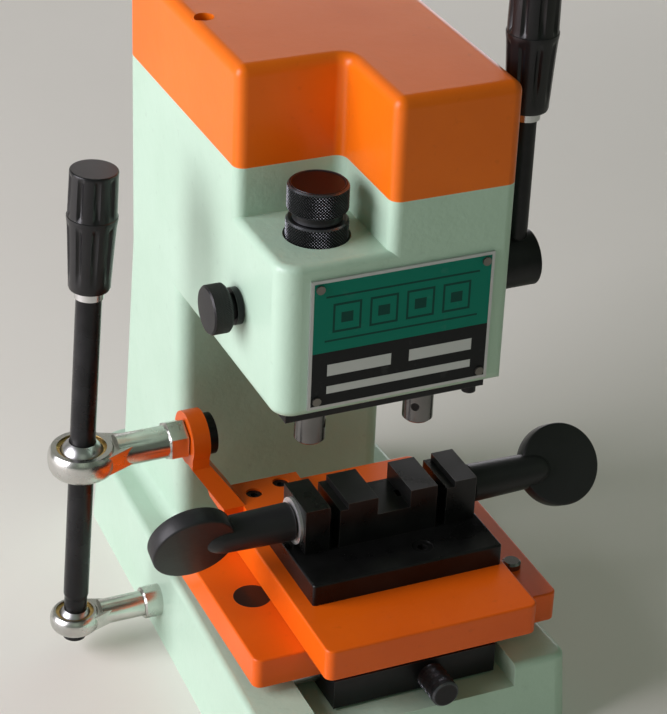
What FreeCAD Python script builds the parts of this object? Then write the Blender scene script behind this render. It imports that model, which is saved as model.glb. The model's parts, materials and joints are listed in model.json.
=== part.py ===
import FreeCAD, Part
import math
import os
import Sketcher

# Key duplicating machine: a C-shaped casting carries a tracer and a cutter side by side, and below them
# a two-way table with twin vises follows a ball-ended control lever.
# X is to the right, Y to the back, Z up; the origin is the middle of the base's underside.

# Driving dimensions in millimetres, angles in degrees
SIZES = {
    "base_front": 142.5, "base_rear": 121, "base_height": 42.3, "base_front_width": 160,
    "base_rear_width": 141.5,
    "base_draft": 3.4, "base_rear_radius": 20, "base_front_radius": 7, "base_edge_radius": 3,
    "foot_radius": 6, "wall": 8, "bottom_thick": 4, "bottom_wide": 128, "bottom_rim": 8, "bottom_rear": 12,
    "hollow_height": 22,
    "head_width": 109, "head_front": 97.9, "head_rear": 93, "head_bottom": 170.2, "step_depth": 23.2,
    "column_front": 22.2, "column_flare": 16, "corner_radius": 8, "cover_height": 46.8, "edge_radius": 5,
    "front_left_radius": 10,
    "step_x": 4.7, "step_y": 46.2, "step_rise": 74.1, "deck_thick": 7, "step_radius": 3.5,
    "trough_width": 100, "trough_floor": 31, "trough_rear": 26,
    "cover_screw_x": 47.5, "cover_screw_y": 11.8, "screw_radius": 2.5, "screw_head_radius": 4.5,
    "screw_head_height": 3, "screw_length": 12, "lug_side": 11,
    "plate_wide": 86.1, "plate_tall": 62.7, "plate_centre_x": 2.15, "plate_low": 4.3, "plate_thick": 1.2,
    "rivet_inset": 4, "rivet_radius": 2,
    "nose_spacing": 53.6, "nose_y": 70.7, "nose_radius": 7.05, "nose_drop": 28.8, "nose_socket": 3,
    "socket_depth": 14, "set_screw_radius": 2, "set_screw_height": 9,
    "carrier_thick": 4.2, "carrier_wide": 96, "carrier_deep": 48, "carrier_centre_y": 68,
    "block_left": 43, "block_right": 38, "block_front": 87, "block_rear": 47, "block_height": 41.8,
    "slide_gap": 0.4, "fit_gap": 0.05, "seat_gap": 0.02,
    "guide_radius": 4, "guide_front": 82, "guide_rear": 53.5,
    "bearing_outer": 10, "bearing_tall": 9, "spindle_radius": 5, "hex_radius": 4.4,
    "pulley_hub": 8, "pulley_radius": 12, "pulley_tall": 14,
    "motor_radius": 25, "motor_tall": 95, "motor_y": 57.6, "motor_x": 8, "motor_pulley_radius": 16,
    "motor_shaft_radius": 4, "belt_thick": 2.4, "belt_wide": 8, "belt_rise": 11.7,
    "tracer_hole": 14.8, "lock_ring_radius": 13.75, "lock_ring_rise": 8, "sleeve_radius": 10,
    "tracer_radius": 6, "knob_neck_radius": 11, "knob_neck_tall": 4, "knob_radius": 13.5, "knob_tall": 12,
    "side_knob_y": 51.3, "side_knob_rise": 34.3, "side_knob_radius": 11.25,
    "side_knob_thick": 9, "side_screw_radius": 4,
    "feed_y": 69, "feed_rise": 43.8, "feed_hub_radius": 12.75, "feed_hub_in": 57, "feed_hub_out": 79,
    "feed_rod_x": 71.5, "feed_rod_radius": 5, "feed_rod_reach": 69.5, "feed_shaft_radius": 5,
    "tooth_module": 1.5, "tooth_count": 16, "gear_wide": 7, "rack_thick": 5,
    "collar_radius": 6.3, "collar_tall": 4, "grip_length": 58.5, "grip_foot": 9.6, "grip_ridge": 11.6,
    "grip_ridge_drop": 22.6, "grip_top": 11,
    "table_x": 4.9, "lower_wide": 151.6, "lower_front": 120, "lower_rear": 8, "slide_tall": 15.1,
    "lower_thick": 14.9, "upper_wide": 103.8, "upper_front": 144.5, "upper_rear": 10, "upper_thick": 15.4,
    "table_gap": 0.3, "rail_wide": 10, "rail_tall": 8, "rail_spacing": 60, "vise_x": 7.6, "vise_wide": 94.3,
    "vise_front": 110.2, "vise_rear": 48, "vise_thick": 10.8, "jaw_front": 86, "jaw_rear": 60, "jaw_rise": 23,
    "jaw_thick": 12, "right_jaw_thick": 15, "seat_wide": 4, "seat_deep": 3, "vise_corner": 1.5,
    "vise_screw_radius": 3,
    "vise_head_radius": 5, "vise_head_deep": 5, "arm_hole": 4,
    "slot_wide": 5, "core_ledge": 9, "jaw_screw_rise": 11, "jaw_screw_radius": 4,
    "wing_neck": 9, "wing_reach": 50, "wing_radius": 19.7, "wing_thick": 9, "left_wing_turn": 20,
    "right_wing_turn": -35,
    "slide_wide": 81, "slide_front": 128, "slide_rear": 45, "slide_clear": 1.5, "x_rod_radius": 4,
    "x_rod_front": 108, "x_rod_rear": 62, "lock_x": 12.3, "lock_radius": 6.75, "lock_length": 17,
    "lever_y": 3, "lever_foot_x": 116.8, "lever_shift": 5, "lower_eye_z": 18.8, "foot_collar": 7.8,
    "foot_collar_long": 14,
    "eye_rise": 90.4,
    "lever_radius": 6, "lever_neck": 5.5, "lever_end": 10,
    "lower_ball_radius": 8, "lower_ring": 12, "upper_ball_radius": 11,
    "upper_ring": 16, "ring_wide": 9, "race_thick": 2, "collar_rise": 84.6, "arm_x": 52.5, "arm_thick": 8.5,
    "arm_eye": 13, "arm_rise": 3.8, "arm_right": 6, "leg_drop": 12, "leg_left": 50.6, "leg_right": 39.7,
    "leg_front": 29, "inlet_wide": 28, "inlet_tall": 20, "inlet_rise": 29.8,
    "inlet_wall": 3,
}

doc = FreeCAD.newDocument("KeyMachine")
V = FreeCAD.Vector
NODES = []


class Size:
    """A length that carries both its formula over the sheet's cells and its present value."""

    def __init__(self, text, value):
        self.text = text
        self.value = value

    @staticmethod
    def of(other):
        return other if isinstance(other, Size) else Size(f"({float(other)})", float(other))

    def __add__(self, other):
        other = Size.of(other)
        return Size(f"({self.text} + {other.text})", self.value + other.value)

    def __sub__(self, other):
        other = Size.of(other)
        return Size(f"({self.text} - {other.text})", self.value - other.value)

    def __mul__(self, other):
        other = Size.of(other)
        return Size(f"({self.text} * {other.text})", self.value * other.value)

    def __truediv__(self, other):
        other = Size.of(other)
        return Size(f"({self.text} / {other.text})", self.value / other.value)

    def __radd__(self, other):
        return Size.of(other) + self

    def __rsub__(self, other):
        return Size.of(other) - self

    def __rmul__(self, other):
        return Size.of(other) * self

    def __neg__(self):
        return Size(f"(0 - {self.text})", -self.value)

    def __float__(self):
        return self.value


class Sizes:
    """Looks up a driving dimension by its alias."""

    def __getattr__(self, alias):
        return Size(f"Sizes.{alias}", float(sheet.get(alias)))


S = Sizes()


def bind(target, formulas):
    for path, size in formulas.items():
        target.setExpression(path, Size.of(size).text)


def place(piece, x=0, y=0, z=0):
    bind(piece, {"Placement.Base.x": x, "Placement.Base.y": y, "Placement.Base.z": z})
    return piece


def node(label, piece):
    piece.Label = label
    NODES.append(piece)
    return piece


# Turns that lay the Z axis of a round piece along the named direction
TURNS = {
    "+x": FreeCAD.Rotation(V(0, 1, 0), 90), "-x": FreeCAD.Rotation(V(0, 1, 0), -90),
    "+y": FreeCAD.Rotation(V(1, 0, 0), -90), "-y": FreeCAD.Rotation(V(1, 0, 0), 90),
    "+z": FreeCAD.Rotation(), "-z": FreeCAD.Rotation(V(1, 0, 0), 180),
    "front right": FreeCAD.Rotation(V(0, 0, 1), V(0.77, -0.64, 0)),
    "front left": FreeCAD.Rotation(V(0, 0, 1), V(-0.6, -0.8, 0)),
}


def box(x, y, z):
    """A block between two planes each way."""
    piece = doc.addObject("Part::Box", "Block")
    bind(piece, {"Length": x[1] - x[0], "Width": y[1] - y[0], "Height": z[1] - z[0]})
    return place(piece, x[0], y[0], z[0])


def rod(along, start, length, radius):
    """A round bar from its start point along a direction."""
    piece = doc.addObject("Part::Cylinder", "Bar")
    piece.Placement = FreeCAD.Placement(V(), TURNS[along])
    bind(piece, {"Radius": radius, "Height": length})
    return place(piece, *start)


def prism(along, start, length, radius):
    """A hexagonal bar; the radius reaches the corners."""
    piece = doc.addObject("Part::Prism", "Hexagon")
    piece.Placement = FreeCAD.Placement(V(), TURNS[along])
    bind(piece, {"Circumradius": radius, "Height": length})
    return place(piece, *start)


def fuse(*pieces):
    piece = doc.addObject("Part::MultiFuse", "Union")
    piece.Shapes = list(pieces)
    return piece


def group(*pieces):
    piece = doc.addObject("Part::Compound", "Set")
    piece.Links = list(pieces)
    return piece


def cut(base, *tools):
    piece = doc.addObject("Part::Cut", "Hollow")
    piece.Base = base
    piece.Tool = tools[0] if len(tools) == 1 else fuse(*tools)
    return piece


def tube(along, start, length, radius, bore):
    return cut(rod(along, start, length, radius), rod(along, start, length, bore))


def sketch(body, plane, points, offset=0):
    """A closed outline whose corners are all driven by the sheet."""
    drawing = body.newObject("Sketcher::SketchObject", "Outline")
    support = next(item for item in body.Origin.OriginFeatures if item.Role == plane)
    drawing.AttachmentSupport = [(support, "")]
    drawing.MapMode = "FlatFace"
    bind(drawing, {"AttachmentOffset.Base.z": offset})
    count = len(points)
    values = [V(float(a), float(b), 0) for a, b in points]
    for i in range(count):
        drawing.addGeometry(Part.LineSegment(values[i], values[(i + 1) % count]))
    for i in range(count):
        drawing.addConstraint(Sketcher.Constraint("Coincident", i, 2, (i + 1) % count, 1))
    for i, corner in enumerate(points):
        for kind, size in zip(("DistanceX", "DistanceY"), corner):
            size = Size.of(size)
            constraint = drawing.addConstraint(Sketcher.Constraint(kind, -1, 1, i, 1, size.value))
            drawing.setExpression(f"Constraints[{constraint}]", size.text)
    return drawing


def new_body():
    return doc.addObject("PartDesign::Body", "Body")


def pad(body, plane, points, length, offset=0, taper=None, middle=False):
    """An outline pulled straight out of its plane."""
    feature = body.newObject("PartDesign::Pad", "Pad")
    feature.Profile = sketch(body, plane, points, offset)
    feature.Midplane = middle
    bind(feature, {"Length": length})
    if taper is not None:
        bind(feature, {"TaperAngle": taper})
    return feature


def pocket(body, plane, points, length, offset=0):
    """An outline cut upward from its plane; the volume must fall."""
    before = body.Shape.Volume
    feature = body.newObject("PartDesign::Pocket", "Pocket")
    feature.Profile = sketch(body, plane, points, offset)
    feature.Reversed = True
    bind(feature, {"Length": length})
    doc.recompute()
    if body.Shape.Volume > before - 1:
        raise RuntimeError("a pocket cut nothing")
    return feature


def turned(along, points, start):
    """A lathe-turned piece from (radius, height) corners, its axis laid along a direction."""
    body = new_body()
    feature = body.newObject("PartDesign::Revolution", "Revolution")
    drawing = sketch(body, "XZ_Plane", points)
    feature.Profile = drawing
    feature.ReferenceAxis = (drawing, ["V_Axis"])
    feature.Angle = 360
    body.Placement = FreeCAD.Placement(V(), TURNS[along])
    return place(body, *start)


def round_edges(body, radius, wanted):
    """Rounds the edges whose middle point and end points pass the test."""
    doc.recompute()
    base = body.Tip
    names = []
    for i, edge in enumerate(base.Shape.Edges, start=1):
        middle = edge.valueAt((edge.FirstParameter + edge.LastParameter) / 2)
        ends = [vertex.Point for vertex in edge.Vertexes]
        if len(ends) == 2 and wanted(middle, ends):
            names.append(f"Edge{i}")
    if not names:
        raise RuntimeError("no edge to round")
    feature = body.newObject("PartDesign::Fillet", "Fillet")
    feature.Base = (base, names)
    bind(feature, {"Radius": radius})
    doc.recompute()
    if not feature.Shape.isValid() or "Invalid" in feature.State:
        raise RuntimeError("a rounding failed")
    return feature


def near(a, b, slack=0.2):
    return abs(float(a) - float(b)) < slack


def upright(ends):
    low, high = ends
    straight = near(low.x, high.x, 4) and near(low.y, high.y, 4)
    return straight and not near(low.z, high.z, 5)


sheet = doc.addObject("Spreadsheet::Sheet", "Sizes")
for row, (alias, value) in enumerate(SIZES.items(), start=1):
    sheet.set(f"A{row}", alias)
    sheet.set(f"B{row}", str(value))
    sheet.setAlias(f"B{row}", alias)
doc.recompute()

# Levels and lines that several pieces share
step_floor = S.head_bottom + S.step_rise
head_top = step_floor + S.step_depth
belt_height = step_floor + S.belt_rise
lock_ring_top = step_floor + S.lock_ring_rise
feed_z = S.head_bottom + S.feed_rise
side_knob_z = S.head_bottom + S.side_knob_rise
slide_low = S.trough_floor + S.slide_clear
lower_low = slide_low + S.slide_tall
half_head = S.head_width / 2
ceiling = step_floor - S.deck_thick
chamber_floor = S.head_bottom + S.wall
inner_half = half_head - S.wall
front_inside = S.wall - S.head_front
rear_inside = S.head_rear - S.wall
nose_right = S.nose_spacing / 2
nose_left = -nose_right
nose_line = -S.nose_y

# Frame casting: base, column and head in one piece, hollow for the carrier, the belt and the motor
frame = new_body()
pad(frame, "XY_Plane", [
    (-S.base_front_width / 2, -S.base_front), (S.base_front_width / 2, -S.base_front),
    (S.base_rear_width / 2, S.base_rear), (-S.base_rear_width / 2, S.base_rear),
], S.base_height, taper=-S.base_draft)
round_edges(frame, S.base_rear_radius, lambda m, e: upright(e) and m.y > 0)
round_edges(frame, S.base_front_radius, lambda m, e: upright(e) and m.y < 0)
round_edges(frame, S.base_edge_radius, lambda m, e: near(m.z, S.base_height))
pad(frame, "YZ_Plane", [
    (S.column_front, S.hollow_height), (S.column_front, S.head_bottom), (-S.head_front, S.head_bottom),
    (-S.head_front, head_top), (S.head_rear, head_top), (S.head_rear, S.head_bottom),
    (S.head_rear + S.column_flare, S.base_height), (S.head_rear + S.column_flare, S.hollow_height),
], S.head_width, middle=True)
doc.recompute()
pocket(frame, "XY_Plane", [
    (-half_head - 1, -S.head_front - 1), (-S.step_x, -S.head_front - 1), (-S.step_x, -S.step_y),
    (-half_head - 1, -S.step_y),
], head_top - step_floor + 1, offset=step_floor)
round_edges(frame, S.edge_radius, lambda m, e: upright(e) and m.z > float(step_floor) and m.y < 0
            and (near(m.y, -S.step_y) or near(m.x, -S.step_x)))
round_edges(frame, S.corner_radius, lambda m, e: near(abs(m.x), half_head) and near(m.x, e[0].x)
            and not near(e[0].z, e[1].z, 5) and m.z > float(S.base_height) and m.y > 0 and m.z > 60)
round_edges(frame, S.foot_radius, lambda m, e: near(m.z, S.base_height) and abs(m.x) < float(half_head) + 0.5
            and float(S.column_front) - 0.5 < m.y < float(S.head_rear + S.column_flare) + 0.5)
round_edges(frame, S.front_left_radius, lambda m, e: near(m.y, -S.head_front) and near(m.x, -half_head))
round_edges(frame, S.edge_radius, lambda m, e: near(m.y, -S.head_front) and m.z < float(head_top) - 0.5
            and not near(m.z, step_floor) and not near(m.x, -S.step_x))
round_edges(frame, S.step_radius, lambda m, e: near(m.z, step_floor)
            and (near(m.x, -half_head) or near(m.y, -S.head_front)))
motor_hole = rod("+z", (S.motor_x, S.motor_y, ceiling - 1), S.deck_thick + 2, S.motor_radius + 1)
shell = cut(
    frame,
    box((-S.trough_width / 2, S.trough_width / 2), (-S.base_front - 1, -S.trough_rear), (S.trough_floor, 90)),
    box((-inner_half, inner_half), (-S.step_y + S.wall, rear_inside), (step_floor, head_top + 1)),
    box((S.wall - S.step_x, inner_half), (front_inside, -S.step_y + S.wall + 1), (step_floor, head_top + 1)),
    box((-inner_half, inner_half), (front_inside, rear_inside), (chamber_floor, ceiling)),
    box((-inner_half, inner_half), (S.column_front + S.wall, rear_inside),
        (S.bottom_thick, chamber_floor + 1)),
    box((6 - S.bottom_wide / 2, S.bottom_wide / 2 - 6), (-S.base_front + 2 * S.bottom_rim, rear_inside),
        (S.bottom_thick, S.hollow_height)),
    box((-S.bottom_wide / 2, S.bottom_wide / 2), (-S.base_front + S.bottom_rim, S.base_rear - S.bottom_rear),
        (-3, S.bottom_thick)),
    box((-S.block_left - 1, S.block_right + 9), (-S.block_front - 1.5, -S.block_rear + 1),
        (S.head_bottom - 1, chamber_floor + 1)),
    rod("+z", (nose_left, nose_line, ceiling - 1), S.deck_thick + 2, S.tracer_hole),
    rod("+z", (nose_right, nose_line, ceiling - 1), S.deck_thick + 2, S.pulley_hub + S.fit_gap),
    motor_hole,
    *[rod("+z", (-6, -y, ceiling - 1), S.deck_thick - 1, S.guide_radius + S.seat_gap)
      for y in (S.guide_front, S.guide_rear)],
    rod("+x", (inner_half - 1, -S.feed_y, feed_z), S.wall + 2, S.feed_shaft_radius + 3),
    rod("-x", (-inner_half + 1, -S.side_knob_y, side_knob_z), S.wall + 2, S.side_screw_radius + S.fit_gap),
    *[rod("+x", (-S.trough_width / 2 - 12, -y, slide_low + 7), S.trough_width + 24,
          S.x_rod_radius + S.seat_gap)
      for y in (S.x_rod_front, S.x_rod_rear)],
)
lug_y = (S.cover_screw_y - S.lug_side / 2, S.cover_screw_y + S.lug_side / 2)
lug_sides = ((-inner_half - 1, S.lug_side - inner_half), (inner_half - S.lug_side, inner_half + 1))
lugs = [box(x, lug_y, (step_floor - 1, head_top)) for x in lug_sides]
cover_bolts = [(x, S.cover_screw_y) for x in (-S.cover_screw_x, S.cover_screw_x)]
bolt_holes = [rod("+z", (x, y, head_top - S.screw_length), 60, S.screw_radius + S.seat_gap)
              for x, y in cover_bolts]
node("frame_casting", cut(fuse(shell, *lugs), *bolt_holes))

# Top cover: a shell over the belt bay with the same stepped plan
lid = new_body()
pad(lid, "XY_Plane", [
    (-half_head, -S.step_y), (-S.step_x, -S.step_y), (-S.step_x, -S.head_front), (half_head, -S.head_front),
    (half_head, S.head_rear), (-half_head, S.head_rear),
], S.cover_height, offset=head_top)
round_edges(lid, S.corner_radius, lambda m, e: upright(e) and m.y > 0)
round_edges(lid, S.edge_radius, lambda m, e: upright(e) and m.y < 0)
round_edges(lid, S.edge_radius, lambda m, e: near(m.z, head_top + S.cover_height))
lid_top = head_top + S.cover_height
head_seat = lid_top - 8
node("top_cover", cut(
    fuse(cut(
        lid,
        box((S.wall - S.step_x, inner_half), (front_inside, rear_inside), (head_top - 1, lid_top - S.wall)),
        box((-inner_half, inner_half), (-S.step_y + S.wall, rear_inside), (head_top - 1, lid_top - S.wall)),
    ), *[rod("+z", (x, y, head_top), S.cover_height - 1, S.lug_side / 2) for x, y in cover_bolts]),
    *bolt_holes,
    *[rod("+z", (x, y, head_seat), 20, S.screw_head_radius + S.seat_gap) for x, y in cover_bolts],
))
shank = head_seat - head_top + S.screw_length
screws = [fuse(rod("+z", (x, y, head_top - S.screw_length), shank, S.screw_radius),
               cut(rod("+z", (x, y, head_seat), S.screw_head_height, S.screw_head_radius),
                   prism("+z", (x, y, head_seat + 1.5), 5, 1.7))) for x, y in cover_bolts]
node("frame_screws", group(*screws))
node("bottom_plate", box(
    (0.2 - S.bottom_wide / 2, S.bottom_wide / 2 - 0.2),
    (-S.base_front + S.bottom_rim + 0.2, S.base_rear - S.bottom_rear - 0.2), (0, S.bottom_thick)))

# Name plate and its rivets on the front of the head
plate_low = S.head_bottom + S.plate_low
plate_x = [S.plate_centre_x - S.plate_wide / 2, S.plate_centre_x + S.plate_wide / 2]
node("name_plate", box(plate_x, (-S.head_front - S.plate_thick, -S.head_front),
                       (plate_low, plate_low + S.plate_tall)))
node("plate_rivets", group(*[
    rod("-y", (x, -S.head_front - S.plate_thick, z), 1, S.rivet_radius)
    for x in (plate_x[0] + S.rivet_inset, plate_x[1] - S.rivet_inset)
    for z in (plate_low + S.rivet_inset, plate_low + S.plate_tall - S.rivet_inset)]))

# Motor hung from its flange on the deck, and the belt drive to the cutter
motor = fuse(rod("-z", (S.motor_x, S.motor_y, step_floor), S.motor_tall, S.motor_radius),
             rod("+z", (S.motor_x, S.motor_y, step_floor), 3, S.motor_radius + 2.3))
shaft_hole = rod("-z", (S.motor_x, S.motor_y, step_floor + 4), 40, S.motor_shaft_radius + S.fit_gap)
node("motor", cut(motor, shaft_hole))
pulley_low = belt_height - S.pulley_tall / 2
node("motor_shaft", rod("+z", (S.motor_x, S.motor_y, step_floor - 30),
                        pulley_low + S.pulley_tall - step_floor + 32, S.motor_shaft_radius))


def pulley(x, radius, hub, bore):
    """A flat-belt wheel with two rims."""
    return turned("+z", [
        (bore, 0), (hub, 0), (radius + 2, 0), (radius + 2, 2), (radius, 2.5),
        (radius, S.pulley_tall - 2.5), (radius + 2, S.pulley_tall - 2),
        (radius + 2, S.pulley_tall), (bore, S.pulley_tall),
    ], x)


node("motor_pulley", pulley((S.motor_x, S.motor_y, pulley_low), S.motor_pulley_radius, 8,
                            S.motor_shaft_radius + S.seat_gap))
wheel = pulley((nose_right, nose_line, pulley_low), S.pulley_radius, S.pulley_hub, 1)
hub = rod("+z", (nose_right, nose_line, ceiling - 1), pulley_low - ceiling + 2, S.pulley_hub)
node("spindle_pulley", cut(
    fuse(wheel, hub), prism("+z", (nose_right, nose_line, ceiling - 2), 60, S.hex_radius + 0.3)))


def belt_prism(extra, low, tall):
    """The space inside a belt round both wheels, a set distance off their running faces."""
    big = V(float(S.motor_x), float(S.motor_y), low)
    small = V(float(nose_right), float(nose_line), low)
    radii = [float(S.motor_pulley_radius) + extra, float(S.pulley_radius) + extra]
    line = small - big
    along = V(line).normalize()
    across = V(-along.y, along.x, 0)
    lean = (radii[0] - radii[1]) / line.Length
    side = math.sqrt(1 - lean ** 2)
    corners = []
    for sign, order in ((1, (0, 1)), (-1, (1, 0))):
        normal = along * lean + across * (side * sign)
        corners += [(big, small)[i] + normal * radii[i] for i in order]
    web = Part.Face(Part.makePolygon(corners + corners[:1])).extrude(V(0, 0, tall))
    rounds = [Part.makeCylinder(r, tall, c) for r, c in zip(radii, (big, small))]
    return web.fuse(rounds).removeSplitter()


belt_low = float(belt_height) - float(S.belt_wide) / 2
belt = doc.addObject("Part::Feature", "Belt")
belt.Shape = belt_prism(float(S.belt_thick) + 0.3, belt_low, float(S.belt_wide)).cut(
    belt_prism(0.3, belt_low - 1, float(S.belt_wide) + 2))
node("drive_belt", belt)
node("guide_columns", group(*[
    rod("+z", (-6, -y, S.head_bottom + 1), step_floor - S.head_bottom - 3, S.guide_radius)
    for y in (S.guide_front, S.guide_rear)]))

# Carrier: the block that slides on the guide columns with its plate, rack, tracer and cutter
rest = S.head_bottom - S.slide_gap
block_top = rest + S.block_height
nose_low = S.head_bottom - S.nose_drop
nose_top = rest - S.carrier_thick / 2
ring_low = step_floor - S.deck_thick
bearing_levels = (rest, block_top - S.bearing_tall)
block = fuse(
    box((-S.block_left, S.block_right), (-S.block_front, -S.block_rear), (rest, block_top)),
    rod("+z", (nose_left, nose_line, block_top - 1), ring_low - block_top + 1, S.sleeve_radius))
node("carrier_block", cut(
    block,
    rod("+z", (nose_left, nose_line, rest - 1), 90, S.tracer_radius + S.fit_gap),
    rod("+z", (nose_right, nose_line, rest - 1), 90, S.spindle_radius + 1),
    *[rod("+z", (nose_right, nose_line, z), S.bearing_tall, S.bearing_outer + S.seat_gap)
      for z in bearing_levels],
    *[rod("+z", (-6, -y, rest - 1), 90, S.guide_radius + S.fit_gap) for y in (S.guide_front, S.guide_rear)]))
node("spindle_bearings", group(*[
    tube("+z", (nose_right, nose_line, z), S.bearing_tall, S.bearing_outer, S.spindle_radius + S.fit_gap)
    for z in bearing_levels]))
plate_y = (-S.carrier_centre_y - S.carrier_deep / 2, -S.carrier_centre_y + S.carrier_deep / 2)
node("carrier_plate", cut(
    box((-S.carrier_wide / 2, S.carrier_wide / 2), plate_y, (rest - S.carrier_thick, rest)),
    *[rod("+z", (x, nose_line, rest - 20), 40, S.nose_radius + S.slide_gap)
      for x in (nose_left, nose_right)]))
node("plate_stop_screw", rod("-z", (S.carrier_wide / 2 - 4, plate_y[0] + 6, rest - S.carrier_thick), 5, 3.25))


def nose(x, side, shaft, top):
    """A tool holder: a nose with a socket below, a shaft above and a screw hole facing forward."""
    body = turned("+z", [
        (S.nose_socket, nose_low), (S.nose_radius - 1, nose_low), (S.nose_radius, nose_low + 1),
        (S.nose_radius, nose_top), (shaft, nose_top), (shaft, top), (0, top),
        (0, nose_low + S.socket_depth), (S.nose_socket, nose_low + S.socket_depth)], (x, nose_line, 0))
    height = nose_low + S.set_screw_height
    hole = rod(side, (x, nose_line, height), S.nose_radius + 2, S.set_screw_radius + S.seat_gap)
    screw = rod(side, (x, nose_line, height), S.nose_radius - 0.5, S.set_screw_radius)
    socket = rod("+z", (x, nose_line, nose_low), S.socket_depth, S.nose_socket + 0.3)
    return body, hole, cut(screw, socket)


hex_low = block_top + 4
cutter, cutter_hole, cutter_screw = nose(nose_right, "front left", S.spindle_radius, hex_low)
hexagon = prism("+z", (nose_right, nose_line, hex_low - 2), head_top - hex_low, S.hex_radius)
node("cutter_spindle", cut(fuse(cutter, hexagon), cutter_hole))
node("cutter_set_screw", cutter_screw)
knob_low = lock_ring_top + S.table_gap
knob_top = knob_low + S.knob_neck_tall + S.knob_tall
tracer, tracer_hole, tracer_screw = nose(nose_left, "front right", S.tracer_radius, knob_top - 6)
node("tracer_spindle", cut(tracer, tracer_hole))
node("tracer_set_screw", tracer_screw)
node("tracer_lock_ring", tube("+z", (nose_left, nose_line, ring_low + 0.05), lock_ring_top - ring_low - 0.05,
                              S.lock_ring_radius, S.tracer_radius + S.fit_gap))
neck_top = knob_low + S.knob_neck_tall
node("tracer_knob", turned("+z", [
    (S.tracer_radius + S.fit_gap, knob_low), (S.knob_neck_radius, knob_low), (S.knob_neck_radius, neck_top),
    (S.knob_radius - 0.8, neck_top), (S.knob_radius, neck_top + 0.8), (S.knob_radius, knob_top - 0.8),
    (S.knob_radius - 0.8, knob_top), (0, knob_top), (0, knob_top - 4),
    (S.tracer_radius + S.fit_gap, knob_top - 4),
], (nose_left, nose_line, 0)))
side_gap = S.block_left + S.table_gap
node("carrier_lock_knob", turned("-x", [
    (0, side_gap), (S.side_screw_radius, side_gap), (S.side_screw_radius, half_head + 0.3),
    (8.5, half_head + 0.3), (8.5, half_head + 3.3), (6, half_head + 3.3), (6, half_head + 6),
    (S.side_knob_radius, half_head + 6), (S.side_knob_radius, half_head + 6 + S.side_knob_thick),
    (0, half_head + 6 + S.side_knob_thick)], (0, -S.side_knob_y, side_knob_z)))

# Rack and pinion of the feed lever
pitch = math.pi * float(S.tooth_module)
pitch_radius = float(S.tooth_module * S.tooth_count) / 2
pitch_line = -float(S.feed_y) - pitch_radius
gear_in = float(S.block_right) + 0.5


def tooth_half(height):
    """Half a tooth's width at a height above the pitch line."""
    return 0.95 - 0.33 * height


gear_points = []
for k in range(int(float(S.tooth_count))):
    for height, sign in ((-2, -1), (1.2, -1), (1.2, 1), (-2, 1)):
        radius = pitch_radius + height
        angle = 2 * math.pi * k / float(S.tooth_count) + sign * tooth_half(height) / radius
        y = radius * math.cos(angle) - float(S.feed_y)
        gear_points.append(V(gear_in, y, radius * math.sin(angle) + float(feed_z)))
gear = doc.addObject("Part::Feature", "Gear")
gear.Shape = Part.Face(Part.makePolygon(gear_points + gear_points[:1])).extrude(V(float(S.gear_wide), 0, 0))
shaft_end = S.feed_hub_in + 8
node("pinion_shaft", fuse(gear, rod("+x", (S.block_right + 0.5, -S.feed_y, feed_z),
                                    shaft_end - S.block_right - 0.5, S.feed_shaft_radius)))
rack_low = float(rest) + 20
rack_top = float(ceiling) - 1.3
back = pitch_line - 2 - float(S.rack_thick)
rack_points = [V(float(S.block_right), back, rack_low), V(float(S.block_right), pitch_line - 2, rack_low)]
first = math.ceil((rack_low + 2 - float(feed_z)) / pitch - 0.5)
level = float(feed_z) + (first + 0.5) * pitch
while level < rack_top - 2:
    for height, sign in ((-2, -1), (1.2, -1), (1.2, 1), (-2, 1)):
        rack_points.append(V(float(S.block_right), pitch_line + height, level + sign * tooth_half(height)))
    level += pitch
rack_points += [V(float(S.block_right), pitch_line - 2, rack_top), V(float(S.block_right), back, rack_top)]
rack = doc.addObject("Part::Feature", "Rack")
rack.Shape = Part.Face(Part.makePolygon(rack_points + rack_points[:1])).extrude(V(float(S.gear_wide), 0, 0))
node("carrier_rack", rack)

# Feed lever on the right side
node("pinion_bush", tube("+x", (inner_half, -S.feed_y, feed_z), S.feed_hub_in - inner_half - S.table_gap,
                         S.feed_shaft_radius + 3 - S.seat_gap, S.feed_shaft_radius + S.fit_gap))
rod_low = feed_z + 6
node("feed_hub", cut(
    rod("+x", (S.feed_hub_in, -S.feed_y, feed_z), S.feed_hub_out - S.feed_hub_in, S.feed_hub_radius),
    rod("+x", (S.feed_hub_in - 1, -S.feed_y, feed_z), shaft_end - S.feed_hub_in + 1,
        S.feed_shaft_radius + S.seat_gap),
    rod("+z", (S.feed_rod_x, -S.feed_y, rod_low), 30, S.feed_rod_radius + S.seat_gap)))
collar_low = feed_z + S.feed_rod_reach
grip_bore = 24
node("feed_rod", rod("+z", (S.feed_rod_x, -S.feed_y, rod_low),
                     collar_low + S.collar_tall + grip_bore - rod_low, S.feed_rod_radius))
node("feed_collar", tube("+z", (S.feed_rod_x, -S.feed_y, collar_low), S.collar_tall, S.collar_radius,
                         S.feed_rod_radius + S.seat_gap))


def grip(bore, start):
    """A handle that swells to a ridge below its flat top with a rounded rim."""
    ridge = S.grip_length - S.grip_ridge_drop
    return turned("+z", [
        (bore, 0), (S.grip_foot - 1, 0), (S.grip_foot, 1), (S.grip_ridge - 0.6, ridge - 1.5),
        (S.grip_ridge, ridge), (S.grip_ridge - 0.6, ridge + 1.5), (S.grip_top, S.grip_length - 1),
        (S.grip_top - 1, S.grip_length), (0, S.grip_length), (0, grip_bore), (bore, grip_bore)], start)


node("feed_grip", grip(S.feed_rod_radius + S.seat_gap, (S.feed_rod_x, -S.feed_y, collar_low + S.collar_tall)))

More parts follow.
